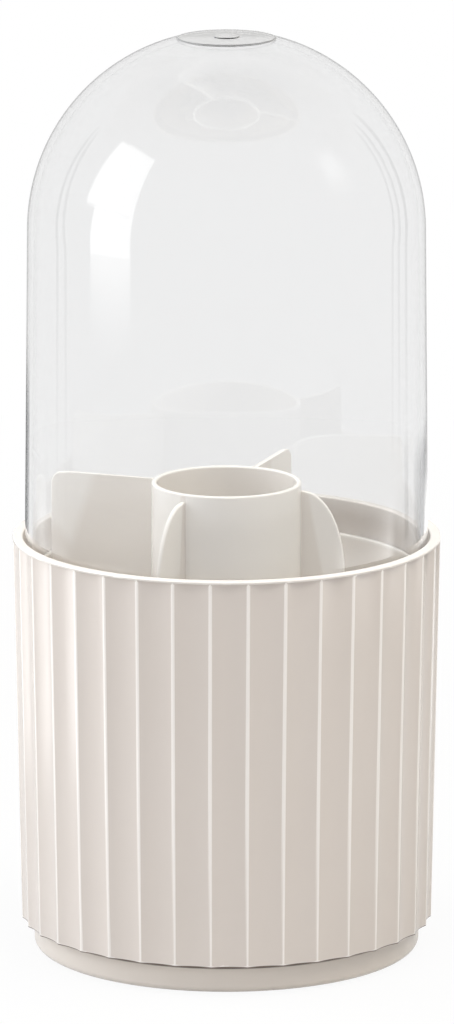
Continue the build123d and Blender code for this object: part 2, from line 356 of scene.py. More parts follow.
def carve(piece, tool, operation):
    """Applies one boolean modifier with an exact solver and throws the tool away."""
    take(piece)
    change = piece.modifiers.new("join", "BOOLEAN")
    change.operation = operation
    change.solver = "EXACT"
    change.object = tool
    bpy.ops.object.modifier_apply(modifier=change.name)
    bpy.data.objects.remove(tool)


rib_inner = BOSS_RADIUS - SKIN_LAP
rib_outer = foot_outer - FOOT_WALL + SKIN_LAP
rib_top = deck_under + SKIN_LAP
rib = bar(
    ((rib_inner + rib_outer) / 2, 0.0, (RIB_FLOOR + rib_top) / 2),
    (rib_outer - rib_inner, RIB_THICKNESS, rib_top - RIB_FLOOR),
)
carve(foot, ring_of(rib, RIB_COUNT, 180.0 / RIB_COUNT), "UNION")
seat = upright_disc(PAD_SEAT_RADIUS + PAD_SEAT_WALL, SEAT_LIP, rib_top, SEAT_SIDES)
carve(foot, ring_of(seat, PAD_COUNT), "UNION")
recess = upright_disc(PAD_SEAT_RADIUS, -PAD_TOP, PAD_TOP, SEAT_SIDES)
carve(foot, ring_of(recess, PAD_COUNT), "DIFFERENCE")
smooth(foot)
report(foot)

# %% [markdown]
# The four pads are soft discs pressed into the seats. Each is a cylinder whose lower edge is
# bevelled, because a punched or moulded pad never has a knife edge where it meets the table.
# One is modelled, and the others are copies with meshes of their own, turned to their places.

# %% Model one pad and copy it
PAD_BEVEL = 0.35
PAD_SIDES = 64

first_pad = upright_disc(PAD_RADIUS, 0.0, PAD_TOP, PAD_SIDES)
open_up(first_pad)
round_edges(first_pad, lambda edge: all(point.co.z < WELD for point in edge.verts), PAD_BEVEL)

pads = []
for number in range(PAD_COUNT):
    pad = first_pad if number == 0 else first_pad.copy()
    if number:
        pad.data = first_pad.data.copy()
        bpy.context.scene.collection.objects.link(pad)
        pad.rotation_euler.z = math.tau * number / PAD_COUNT
        settle(pad)
    pad.name = pad.data.name = f"soft_pad_{number + 1}"
    smooth(pad)
    pads.append(pad)
print("pads", len(pads))

# %% [markdown]
# The fluted cup is the piece that takes the most skill. Each flute is one shallow concave round,
# and two flutes meet in a narrow rounded arris that catches the light as a bright line. A flute's
# section is drawn once, as three spins: half an arris, the hollow, half an arris. Thirty-six
# copies round the axis weld into one closed loop, which is then extruded up the wall, pulled
# round under the rim band, and carried on over the rim, down the bore and back to the foot. A
# bump texture of stripes would never show the scalloped foot edge or the true bright arrises.

# %% Draw one flute
FLUTES = 36
FLUTE_PHASE = 0.75
FLUTE_RADIUS = 18.5
ARRIS_ROUND = 0.8
CUP_FOOT_RADIUS = 59.9
HOLLOW_STEPS = 12
ARRIS_STEPS = 3

cup_foot = cup_low.z / MM
cup_rim = cup_high.z / MM
rim_outer = rim_radius / MM
half_pitch = math.pi / FLUTES
arris_centre = CUP_FOOT_RADIUS - ARRIS_ROUND
arris_out = arris_centre * math.cos(half_pitch)
arris_side = arris_centre * math.sin(half_pitch)
hollow_reach = FLUTE_RADIUS + ARRIS_ROUND
hollow_centre = arris_out + math.sqrt(hollow_reach**2 - arris_side**2)
hollow_half = math.asin(arris_side / hollow_reach)


def turn_last_point(centre_x, centre_y, angle, steps):
    """Spins the last point in the foot's plane about a centre, towards +Y for positive angles."""
    bpy.ops.mesh.spin(steps=steps, angle=-angle, center=mm(centre_x, centre_y, cup_foot), axis=AXIS_Z)


cup = first_point("fluted_cup_wall", 0.0, cup_foot)
start_x = CUP_FOOT_RADIUS * math.cos(half_pitch)
start_y = -CUP_FOOT_RADIUS * math.sin(half_pitch)
bpy.ops.transform.translate(value=mm(start_x, start_y, 0.0))
turn_last_point(arris_out, -arris_side, half_pitch + hollow_half, ARRIS_STEPS)
turn_last_point(hollow_centre, 0.0, -2 * hollow_half, HOLLOW_STEPS)
turn_last_point(arris_out, arris_side, half_pitch + hollow_half, ARRIS_STEPS)
print("flute", len(bmesh.from_edit_mesh(cup.data).verts), "points")

# %% [markdown]
# The loop of flutes goes up the wall on the cup's taper. A small round starts it at the foot, and
# short holding steps at both ends keep the shading of the long wall straight.

# %% Weld the flutes into the cup's wall and carry it up
FOOT_EDGE_ROUND = 0.3
RIM_BAND = 0.8
WALL_HOLD = 0.5


def follow(corners, radius, height):
    """Extrudes the picked loop from a radius and height through corners, scaled in plan at each."""
    for next_radius, next_height in corners:
        extrude_by(mm(0.0, 0.0, next_height - height))
        widen(next_radius / radius)
        radius, height = next_radius, next_height


def corner_arc(centre_radius, centre_height, size, start, end, steps=4):
    """Points on a small round in radius and height, between two angles in degrees."""
    found = []
    for step in range(steps + 1):
        angle = math.radians(start + (end - start) * step / steps)
        found.append((centre_radius + size * math.cos(angle), centre_height + size * math.sin(angle)))
    return found


open_up(cup)
select_all()
bpy.ops.transform.rotate(value=-math.radians(FLUTE_PHASE), orient_axis="Z", center_override=ORIGIN)
all_but_one = FLUTES - 1
bpy.ops.mesh.spin(
    steps=all_but_one, angle=-math.tau * all_but_one / FLUTES, center=ORIGIN, axis=AXIS_Z, dupli=True
)
select_all()
bpy.ops.mesh.remove_doubles(threshold=WELD)
select_all()

cup_taper = (rim_outer - CUP_FOOT_RADIUS) / (cup_rim - cup_foot)
band_z = cup_rim - RIM_BAND
band_radius = CUP_FOOT_RADIUS + cup_taper * (band_z - cup_foot)
edge_arc = corner_arc(
    CUP_FOOT_RADIUS - FOOT_EDGE_ROUND, cup_foot + FOOT_EDGE_ROUND, FOOT_EDGE_ROUND, -90.0, 0.0
)
wall_stops = []
for height in (cup_foot + FOOT_EDGE_ROUND + WALL_HOLD, band_z - WALL_HOLD, band_z):
    wall_stops.append((CUP_FOOT_RADIUS + cup_taper * (height - cup_foot), height))
widen(edge_arc[0][0] / CUP_FOOT_RADIUS)
follow(edge_arc[1:] + wall_stops, *edge_arc[0])
print("fluted wall up to", round(band_z, 2), "mm")

# %% [markdown]
# Under the band the scalloped loop is pulled to a circle. From there the same loop draws the band,
# the rim, the bore, the floor with its hub and the upper half of the ball track, and ends at the
# skirt, where a bridge closes the moulding.

# %% Round the band, the rim and the bore, and close the foot
BAND_EDGE_ROUND = 0.15
RIM_OUTER_ROUND = 0.4
RIM_INNER_ROUND = 0.5
RIM_STEPS = 6
BAND_HOLD = 0.06
CUP_BORE = 58.95
BORE_FOOT = 110.4
CUP_FLOOR_RADIUS = 56.9
CUP_FLOOR = 12.5
FLOOR_ROUND = 1.0
HUB_OUTER = 8.65
HUB_TOP = 13.7
HUB_BORE = 5.05
CUP_UNDERSIDE = 10.1
GROOVE_TOP = TRACK_MIDDLE + TRACK_GROOVE
SKIRT_INNER = 54.7

extrude_by(ORIGIN)
bpy.ops.transform.tosphere(value=1.0)
on_loop = next(point.co.copy() for point in bmesh.from_edit_mesh(cup.data).verts if point.select)
round_now = math.hypot(on_loop.x, on_loop.y) / MM
band_edge = corner_arc(
    band_radius - BAND_EDGE_ROUND, band_z + BAND_EDGE_ROUND, BAND_EDGE_ROUND, -90.0, 0.0
)
band_straight = []
for height in (band_z + BAND_EDGE_ROUND + BAND_HOLD, cup_rim - RIM_OUTER_ROUND - BAND_HOLD):
    band_straight.append((band_radius + cup_taper * (height - band_z), height))
rim_outside = corner_arc(
    rim_outer - RIM_OUTER_ROUND, cup_rim - RIM_OUTER_ROUND, RIM_OUTER_ROUND, 0.0, 90.0, RIM_STEPS
)
rim_inside = corner_arc(
    CUP_BORE + RIM_INNER_ROUND, cup_rim - RIM_INNER_ROUND, RIM_INNER_ROUND, 90.0, 180.0, RIM_STEPS
)
floor_corner = corner_arc(CUP_FLOOR_RADIUS - FLOOR_ROUND, CUP_FLOOR + FLOOR_ROUND, FLOOR_ROUND, 0.0, -90.0)
inside_and_under = [
    (HUB_OUTER, CUP_FLOOR), (HUB_OUTER, HUB_TOP), (HUB_BORE, HUB_TOP), (HUB_BORE, CUP_UNDERSIDE),
    (track_inner, CUP_UNDERSIDE), (track_inner, GROOVE_TOP),
    (track_outer, GROOVE_TOP), (track_outer, CUP_UNDERSIDE),
    (SKIRT_INNER, CUP_UNDERSIDE), (SKIRT_INNER, cup_foot),
]
widen(band_edge[0][0] / round_now)
follow(
    band_edge[1:] + band_straight + rim_outside + rim_inside
    + [(CUP_BORE, BORE_FOOT)] + floor_corner + inside_and_under,
    *band_edge[0],
)
select_edges(cup, lambda edge: edge.is_boundary)
bpy.ops.mesh.bridge_edge_loops()
close_up()
smooth(cup, sharp_from=40.0)
report(cup)

# %% [markdown]
# The divider is one glossy moulding: an outer wall that follows the cup, a floor, a tube for
# brushes in the middle and four upright fins. The round parts are turned from one section. A fin
# is a flat outline that is filled, given its thickness and bevelled on its free edges, then set
# into the shell by a boolean. The low fins fall from the tube in a quarter ellipse, which is the
# one curve here that comes from a formula, because a spin draws only circles.

# %% Turn the divider's shell
DIVIDER_FLOOR = 14.6
DIVIDER_WALL = 2.0
DIVIDER_SIDE_GAP = 0.4
DIVIDER_FOOT_ROUND = 1.0
DIVIDER_CORNER_ROUND = 1.5
COVER_SEAT_GAP = 0.3
TUBE_RADIUS = 21.7
TUBE_WALL = 1.5
TUBE_DRAFT = 0.4
TUBE_FLOOR = 19.8
TUBE_FLOOR_UNDER = 18.0
TUBE_RIM_ROUND = 0.6
TUBE_FOOT_ROUND = 1.0
WALL_TOP_ROUND = 0.4

divider_base = divider_low.z / MM
tube_rim = divider_high.z / MM
wall_radius = divider_radius / MM
wall_inner = wall_radius - DIVIDER_WALL
wall_foot = CUP_FLOOR_RADIUS - DIVIDER_SIDE_GAP
wall_foot_inner = wall_foot - DIVIDER_WALL
wall_top = dome_low.z / MM - COVER_SEAT_GAP
tube_foot = TUBE_RADIUS + TUBE_DRAFT
tube_bore = TUBE_RADIUS - TUBE_WALL
tube_bore_foot = tube_bore - TUBE_DRAFT

divider = first_point("turned_divider", 0.0, TUBE_FLOOR_UNDER)
lines_to(divider, [
    (tube_bore_foot, TUBE_FLOOR_UNDER), (tube_bore_foot, divider_base),
    (wall_foot, divider_base), (wall_radius, BORE_FOOT), (wall_radius, wall_top),
    (wall_inner, wall_top), (wall_inner, BORE_FOOT),
    (wall_foot_inner, DIVIDER_FLOOR), (tube_foot, DIVIDER_FLOOR),
    (TUBE_RADIUS, tube_rim), (tube_bore, tube_rim),
    (tube_bore_foot, TUBE_FLOOR), (0.0, TUBE_FLOOR),
])
turn_section(TURNS)
round_rings(divider, [(TUBE_RADIUS, tube_rim), (tube_bore, tube_rim)], TUBE_RIM_ROUND, segments=5)
round_rings(divider, [(wall_radius, wall_top), (wall_inner, wall_top)], WALL_TOP_ROUND)
round_rings(divider, [(wall_foot, divider_base)], DIVIDER_FOOT_ROUND)
round_rings(divider, [(wall_foot_inner, DIVIDER_FLOOR)], DIVIDER_CORNER_ROUND, segments=5)
round_rings(divider, [(tube_foot, DIVIDER_FLOOR), (tube_bore_foot, TUBE_FLOOR)], TUBE_FOOT_ROUND)
report(divider)

# %% [markdown]
# Each fin is drawn as if it stood to the right, then turned to its own azimuth. It starts inside
# the tube's wall and ends in the middle of the outer one, so the boolean finds skins that cross.

# %% Model the fins and set them into the shell
FIN_THICKNESS = 1.5
FIN_ROUND = 0.55
FIN_ROOT = 0.7
LOW_FIN_AZIMUTHS = (-35.0, 85.0)
LOW_FIN_DROP = 2.4
LOW_FIN_FLAT = 0.2
LOW_FIN_REACH = 12.4
LOW_FIN_FALL = 24.0
LOW_FIN_SHELF = 80.0
LOW_FIN_SWEEP = 12.0
LOW_FIN_FREE_FROM = LOW_FIN_SHELF - 1.0
TALL_FIN_AZIMUTHS = (-110.0, 160.0)
TALL_FIN_DROP = 0.9
TALL_FIN_DOME_GAP = 1.2
TALL_FIN_CORNER = 4.0
TALL_FIN_JOIN = 1.2
DOME_WALL = 2.0
CURVE_STEPS = 18
SWEEP_STEPS = 10
CORNER_STEPS = 8

fin_root = TUBE_RADIUS - FIN_ROOT
fin_foot = DIVIDER_FLOOR - FIN_ROOT


def wall_middle(height):
    """The radius half way through the divider's wall, on its taper."""
    foot = wall_foot - DIVIDER_WALL / 2
    slope = (CUP_BORE - CUP_FLOOR_RADIUS) / (BORE_FOOT - DIVIDER_FLOOR)
    return foot + slope * min(height - DIVIDER_FLOOR, BORE_FOOT - DIVIDER_FLOOR)


def low_fin():
    """Draws a fin that falls from the tube in a quarter ellipse and sweeps out to a low shelf."""
    top = tube_rim - LOW_FIN_DROP
    crest = TUBE_RADIUS + LOW_FIN_FLAT
    neck = crest + LOW_FIN_REACH
    sweep_z = LOW_FIN_SHELF + LOW_FIN_SWEEP
    fin = first_point("low_fin", fin_root, fin_foot)
    lines_to(fin, [(fin_root, top), (crest, top)])
    for step in range(1, CURVE_STEPS + 1):
        angle = math.pi / 2 * step / CURVE_STEPS
        line_to(
            fin, crest + LOW_FIN_REACH * math.sin(angle), top - LOW_FIN_FALL * (1.0 - math.cos(angle))
        )
    line_to(fin, neck, sweep_z)
    arc_round(neck + LOW_FIN_SWEEP, sweep_z, 90.0, SWEEP_STEPS)
    lines_to(fin, [
        (wall_middle(LOW_FIN_SHELF), LOW_FIN_SHELF), (wall_middle(fin_foot), fin_foot), (fin_root, fin_foot),
    ])
    return fin


def tall_fin():
    """Draws a fin that runs out level with the tube's rim and stands just inside the dome."""
    top = tube_rim - TALL_FIN_DROP
    tip = dome_edge_radius / MM - DOME_WALL - TALL_FIN_DOME_GAP
    join = wall_top - TALL_FIN_JOIN
    fin = first_point("tall_fin", fin_root, fin_foot)
    lines_to(fin, [(fin_root, top), (tip - TALL_FIN_CORNER, top)])
    arc_round(tip - TALL_FIN_CORNER, top - TALL_FIN_CORNER, -90.0, CORNER_STEPS)
    lines_to(fin, [
        (tip, join), (wall_middle(join), join), (wall_middle(fin_foot), fin_foot), (fin_root, fin_foot),
    ])
    return fin


def free_edge(edge):
    """Whether a fin's edge runs along its outline, from the shelf up and outside the tube."""
    along = abs(edge.verts[0].co.y - edge.verts[1].co.y) < WELD
    outside = all(p.co.x > (TUBE_RADIUS - FIN_ROOT / 2) * MM for p in edge.verts)
    high = all(p.co.z > LOW_FIN_FREE_FROM * MM for p in edge.verts)
    return along and high and outside


def finish_fin(fin, azimuth):
    """Fills a fin's outline, gives it thickness, rounds its free edges and turns it to its azimuth."""
    select_all()
    bpy.ops.mesh.remove_doubles(threshold=WELD)
    select_all()
    bpy.ops.mesh.edge_face_add()
    bpy.ops.transform.translate(value=(0.0, -FIN_THICKNESS / 2 * MM, 0.0))
    extrude_by(mm(0.0, FIN_THICKNESS, 0.0))
    faces_outward()
    round_edges(fin, free_edge, FIN_ROUND)
    fin.rotation_euler.z = math.radians(azimuth - 90.0)
    return settle(fin)


for draw_fin, azimuths in ((low_fin, LOW_FIN_AZIMUTHS), (tall_fin, TALL_FIN_AZIMUTHS)):
    for azimuth in azimuths:
        carve(divider, finish_fin(draw_fin(), azimuth), "UNION")
smooth(divider, sharp_from=32.0)
report(divider)

# %% [markdown]
# The cover is one thin clear moulding: a drafted tube under a half ball, with a flat disc where
# the mould's gate was. Clear plastic shows both of its skins, so the wall's thickness matters
# more here than on any other piece. A single shell with a glass shader would bend light like a
# solid block. The section therefore runs up the inner skin, round the edge and up the outer one.

# %% Draw the cover's two skins and turn them
DOME_EDGE = dome_low.z / MM
DOME_CENTRE = DOME_EDGE + 99.5
BALL_RADIUS = 57.27
DISC_RADIUS = 14.0
DISC_WALL = 2.0
GATE_RADIUS = 3.7
GATE_HEIGHT = 0.35
DOME_EDGE_ROUND = 0.5
DISC_ROUND = 0.12
GATE_ROUND = 0.15
BALL_STEPS = 64
DOME_TURNS = 192


def tangent_angle(edge, ball):
    """Where the straight wall from the edge meets the ball, in degrees above the ball's middle."""
    rise = DOME_EDGE - DOME_CENTRE
    distance = math.hypot(edge, rise)
    return math.degrees(math.atan2(rise, edge) + math.acos(ball / distance))


def on_ball(ball, degrees):
    """A point of the section on a ball about the dome's centre."""
    angle = math.radians(degrees)
    return ball * math.cos(angle), DOME_CENTRE + ball * math.sin(angle)


dome_top = dome_high.z / MM
edge_outer = dome_edge_radius / MM
edge_inner = edge_outer - DOME_WALL
inner_ball = BALL_RADIUS - DOME_WALL
disc_top = dome_top - GATE_HEIGHT
disc_under = disc_top - DISC_WALL
inner_flat = math.degrees(math.asin((disc_under - DOME_CENTRE) / inner_ball))
outer_flat = math.degrees(math.acos(DISC_RADIUS / BALL_RADIUS))
inner_start = tangent_angle(edge_inner, inner_ball)
outer_start = tangent_angle(edge_outer, BALL_RADIUS)

dome = first_point("clear_dome", 0.0, disc_under)
line_to(dome, *on_ball(inner_ball, inner_flat))
arc_round(0.0, DOME_CENTRE, inner_start - inner_flat, BALL_STEPS)
lines_to(dome, [(edge_inner, DOME_EDGE), (edge_outer, DOME_EDGE), on_ball(BALL_RADIUS, outer_start)])
arc_round(0.0, DOME_CENTRE, outer_flat - outer_start, BALL_STEPS)
lines_to(dome, [(DISC_RADIUS, disc_top), (GATE_RADIUS, disc_top), (GATE_RADIUS, dome_top), (0.0, dome_top)])
turn_section(DOME_TURNS)
round_rings(dome, [(edge_inner, DOME_EDGE), (edge_outer, DOME_EDGE)], DOME_EDGE_ROUND)
round_rings(dome, [(DISC_RADIUS, disc_top)], DISC_ROUND, segments=3)
round_rings(dome, [(GATE_RADIUS, dome_top)], GATE_ROUND, segments=3)
smooth(dome, sharp_from=30.0)
report(dome)

# %% [markdown]
# Under the divider, a pan-head screw and a washer hold the cup down on the foot. They show only
# when the divider is lifted out, but then they are what the eye goes to. The washer is a turned
# ring with broken edges. The head is a turned dome with a cross cut in it by two straight bars.

# %% Turn the washer and the screw
WASHER_OUTER = 8.2
WASHER_HOLE = 1.8
WASHER_EDGE = 0.15
SHANK_RADIUS = 1.75
SHANK_TIP_BEVEL = 0.8
HEAD_RADIUS = 3.4
HEAD_SIDE = 0.9
HEAD_STEPS = 10
DRIVE_WIDTH = 0.9
DRIVE_LENGTH = 4.0
DRIVE_DEPTH = 1.2
SMALL_TURNS = 96

washer_low, washer_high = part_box("pivot_washer")
screw_low, screw_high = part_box("pivot_screw")
washer_under = washer_low.z / MM
washer_top = washer_high.z / MM
screw_tip = screw_low.z / MM
screw_top = screw_high.z / MM

washer = first_point("turned_washer", WASHER_HOLE, washer_under)
lines_to(washer, [
    (WASHER_OUTER, washer_under), (WASHER_OUTER, washer_top), (WASHER_HOLE, washer_top),
    (WASHER_HOLE, washer_under),
])
turn_section(SMALL_TURNS)
round_rings(washer, [(WASHER_OUTER, washer_top), (WASHER_OUTER, washer_under)], WASHER_EDGE, segments=3)
smooth(washer)

dome_rise = screw_top - washer_top - HEAD_SIDE
head_ball = (HEAD_RADIUS**2 + dome_rise**2) / (2 * dome_rise)
head_half = math.degrees(math.asin(HEAD_RADIUS / head_ball))
screw = first_point("turned_screw", 0.0, screw_tip)
lines_to(screw, [
    (SHANK_RADIUS - SHANK_TIP_BEVEL, screw_tip), (SHANK_RADIUS, screw_tip + SHANK_TIP_BEVEL),
    (SHANK_RADIUS, washer_top), (HEAD_RADIUS, washer_top), (HEAD_RADIUS, washer_top + HEAD_SIDE),
])
arc_round(0.0, screw_top - head_ball, head_half, HEAD_STEPS)
turn_section(SMALL_TURNS)
for length, width in ((DRIVE_LENGTH, DRIVE_WIDTH), (DRIVE_WIDTH, DRIVE_LENGTH)):
    carve(screw, bar((0.0, 0.0, screw_top), (length, width, 2 * DRIVE_DEPTH)), "DIFFERENCE")
smooth(screw)
report(washer)
report(screw)

# %% [markdown]
# Each dressed piece now takes its CAD node's place and rides on that node's body. The cage and
# the balls stay as the frame has them, because they run hidden between the foot and the cup, and
# only their finish is added.

# %% Seat every piece on its body
def dress(piece, body, slot, *nodes):
    """Lets a piece ride on a body in place of its nodes. The slot is not used."""
    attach(piece, body)
    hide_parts(*nodes)


dress(foot, "foot", "cream_gloss", "base_plate")
dress(washer, "foot", "plated_steel", "pivot_washer")
dress(screw, "foot", "plated_steel", "pivot_screw")
for number, pad in enumerate(pads, 1):
    dress(pad, "foot", "pad_rubber", f"foot_pad_{number}")
dress(cup, "cup", "cream_gloss", "fluted_cup")
dress(divider, "divider", "white_gloss", "divider_insert")
dress(dome, "cover", "clear_plastic", "dome_cover")
print("dressed", len([foot, washer, screw, cup, divider, dome, *pads]), "pieces")

# %% [markdown]
# Shader nodes are laid out by a few small helpers. Each adds one node, sets it up and feeds its
# inputs, which may be another node's output or a plain value.

# %% Helpers that lay out shader nodes
COLOUR = "NodeSocketColor"
NUMBER = "NodeSocketFloat"
PLAIN_WHITE = (1.0, 1.0, 1.0)


def feed(tree, socket, value):
    """Gives an input a plain value, or links another node's output to it."""
    if isinstance(value, bpy.types.NodeSocket):
        tree.links.new(value, socket)
    else:
        socket.default_value = value


def add(tree, kind, feeds=None, **settings):
    """Adds one shader node of a kind, sets it up and feeds its inputs."""
    node = tree.nodes.new("ShaderNode" + kind)
    for label, value in settings.items():
        setattr(node, label, value)
    for label, value in (feeds or {}).items():
        feed(tree, node.inputs[label], value)
    return node


def maths(tree, operation, first, second=0.0):
    """A Math node's answer. An operation on one value leaves the second out."""
    return add(tree, "Math", {0: first, 1: second}, operation=operation).outputs["Value"]


def ramp(tree, value, start, end, low=0.0, high=1.0, kind="LINEAR"):
    """A value that goes from low to high as another goes from start to end."""
    levels = {"Value": value, "From Min": start, "From Max": end, "To Min": low, "To Max": high}
    return add(tree, "MapRange", levels, interpolation_type=kind).outputs["Result"]


def mix_colours(tree, share, under, over):
    """One colour over another, by a share."""
    colours = {"Factor": share, "A": under, "B": over}
    return add(tree, "Mix", colours, data_type="RGBA").outputs["Result"]


def mix_shaders(tree, share, under, over):
    """One shader over another, by a share."""
    return add(tree, "MixShader", {"Fac": share, 1: under, 2: over}).outputs["Shader"]


def object_place(tree):
    """The place on the object, in metres."""
    return add(tree, "TexCoord").outputs["Object"]


def height_and_sides(tree, place):
    """A place's three coordinates."""
    return add(tree, "SeparateXYZ", {"Vector": place}).outputs


def length_of(tree, vector):
    """How long a vector is."""
    return add(tree, "VectorMath", {0: vector}, operation="LENGTH").outputs["Value"]


def new_group(name, inputs, outputs):
    """A shader node group with named sockets, and its inputs and outputs as seen from inside."""
    group = bpy.data.node_groups.new(name, "ShaderNodeTree")
    for label, value in inputs.items():
        kind = NUMBER if isinstance(value, float) else COLOUR
        group.interface.new_socket(name=label, in_out="INPUT", socket_type=kind).default_value = value
    for label, kind in outputs.items():
        group.interface.new_socket(name=label, in_out="OUTPUT", socket_type=kind)
    print("group", name)
    return group, group.nodes.new("NodeGroupInput").outputs, group.nodes.new("NodeGroupOutput").inputs


print("shader helpers ready")

# %% [markdown]
# Moulded plastic is never one flat colour. Pigment settles in faint clouds, and the mould's polish
# leaves a very fine unevenness in the gloss. Two more effects are painted light and shade: a
# painted highlight that makes sharp rounded edges paler than the wall beside them, and a painted
# shadow line in a band of heights, where one piece turns close over another. Four small node
# groups hold these effects, so that every material can use them with its own values. They read
# Object coordinates, which are real metres here, or the mesh's pointiness, and put out only
# colours, masks and heights, which feed the shader in each material.

# %% Node groups for moulded surfaces
PALE = (0.8, 0.8, 0.8, 1.0)
POINTED_FROM = 0.5045
POINTED_TO = 0.5095
POLISH_LOW = 0.3
POLISH_HIGH = 0.7


def noise(tree, scale, detail):
    """A noise texture on Object coordinates."""
    feeds = {"Vector": object_place(tree), "Scale": scale, "Detail": detail}
    return add(tree, "TexNoise", feeds).outputs["Fac"]


clouds, given, made = new_group(
    "pigment_clouds",
    {"Colour": PALE, "Cloud Colour": (0.7, 0.7, 0.7, 1.0), "Scale": 40.0, "Amount": 0.3},
    {"Colour": COLOUR},
)
cloud_share = maths(clouds, "MULTIPLY", noise(clouds, given["Scale"], 4.0), given["Amount"])
feed(clouds, made["Colour"], mix_colours(clouds, cloud_share, given["Colour"], given["Cloud Colour"]))

# Painted highlight: sharp convex edges, found by the mesh's pointiness, are mixed towards a paler colour.
edge_highlight, given, made = new_group(
    "painted_edge_highlight", {"Colour": PALE, "Edge Colour": (1.0, 1.0, 1.0, 1.0), "Amount": 0.5}, {"Colour": COLOUR}
)
pointed = add(edge_highlight, "NewGeometry").outputs["Pointiness"]
highlight_share = maths(edge_highlight, "MULTIPLY", ramp(edge_highlight, pointed, POINTED_FROM, POINTED_TO), given["Amount"])
feed(edge_highlight, made["Colour"], mix_colours(edge_highlight, highlight_share, given["Colour"], given["Edge Colour"]))

# Painted shade: a band of heights goes dark, the shadow line where one piece turns close over another.
shade_line_group, given, made = new_group(
    "joint_shade",
    {"Colour": PALE, "Joint Colour": (0.2, 0.2, 0.2, 1.0), "From Height": 0.0, "To Height": 0.001},
    {"Colour": COLOUR},
)
height = height_and_sides(shade_line_group, object_place(shade_line_group))["Z"]
in_shade_line = ramp(shade_line_group, height, given["From Height"], given["To Height"], kind="SMOOTHSTEP")
feed(shade_line_group, made["Colour"], mix_colours(shade_line_group, in_shade_line, given["Colour"], given["Joint Colour"]))

polish, given, made = new_group(
    "mould_polish",
    {"Scale": 600.0, "Smoothest": 0.2, "Roughest": 0.3},
    {"Roughness": NUMBER, "Height": NUMBER},
)
grain = noise(polish, given["Scale"], 5.0)
gloss = ramp(polish, grain, POLISH_LOW, POLISH_HIGH, given["Smoothest"], given["Roughest"])
feed(polish, made["Roughness"], gloss)
feed(polish, made["Height"], grain)

# %% [markdown]
# The disc on top of the cover is where the melt entered the mould. The disc is painted with a
# light grey matt shade, and the step round it with a darker one. One more group finds both by
# their radius and height.

# %% A node group for the painted shade on the disc
STEP_REACH = 0.0004
STEP_DEPTH = 0.0006

# Painted shade: masks for the disc on top of the cover and for the step round it.
disc_painted_shade, given, made = new_group(
    "disc_painted_shade", {"Disc Radius": 0.014, "Disc Height": 0.2}, {"Step": NUMBER, "Disc": NUMBER}
)
place = object_place(disc_painted_shade)
in_plan = add(disc_painted_shade, "VectorMath", {0: place, 1: (1.0, 1.0, 0.0)}, operation="MULTIPLY")
from_axis = length_of(disc_painted_shade, in_plan.outputs["Vector"])
above_disc = maths(disc_painted_shade, "SUBTRACT", height_and_sides(disc_painted_shade, place)["Z"], given["Disc Height"])
from_step = maths(disc_painted_shade, "SUBTRACT", from_axis, given["Disc Radius"])
near_step = maths(disc_painted_shade, "LESS_THAN", maths(disc_painted_shade, "ABSOLUTE", from_step), STEP_REACH)
high_enough = maths(disc_painted_shade, "GREATER_THAN", above_disc, -STEP_DEPTH)
in_disc = maths(disc_painted_shade, "LESS_THAN", from_step)
feed(disc_painted_shade, made["Step"], maths(disc_painted_shade, "MULTIPLY", near_step, high_enough))
feed(disc_painted_shade, made["Disc"], maths(disc_painted_shade, "MULTIPLY", in_disc, high_enough))

# %% [markdown]
# A finish is one material: the groups give its colour, its gloss and its height, and the shader's
# own sockets hold what is the same all over. Colours are written as a painter reads them from a
# card, from 0 to 255, and turned into the linear values that the shader works with.

# %% A helper that builds an opaque finish
CLOUD_AMOUNT = 0.6
BUMP_DEPTH = 0.0002


def card(red, green, blue):
    """A colour read from a card, as the linear colour that a shader takes."""
    linear = []
    for value in (red, green, blue):
        share = value / 255.0
        linear.append(share / 12.92 if share <= 0.04045 else ((share + 0.055) / 1.055) ** 2.4)
    return (*linear, 1.0)


def new_material(name):
    """A material that uses nodes, and its node tree."""
    material = bpy.data.materials.new(name)
    material.use_nodes = True
    return material, material.node_tree


def surface(tree, shader):
    """Makes a shader the material's surface."""
    feed(tree, tree.nodes["Material Output"].inputs["Surface"], shader)


def tilt_normals(tree, shader, height, strength):
    """Lets a height tilt a shader's normals a little."""
    feeds = {"Strength": strength, "Distance": BUMP_DEPTH, "Height": height}
    feed(tree, shader.inputs["Normal"], add(tree, "Bump", feeds).outputs["Normal"])


def place_group(tree, group, **values):
    """Puts a node group in a tree and feeds its inputs, with spaces in their names as underscores."""
    feeds = {label.replace("_", " "): value for label, value in values.items()}
    return add(tree, "Group", feeds, node_tree=group).outputs


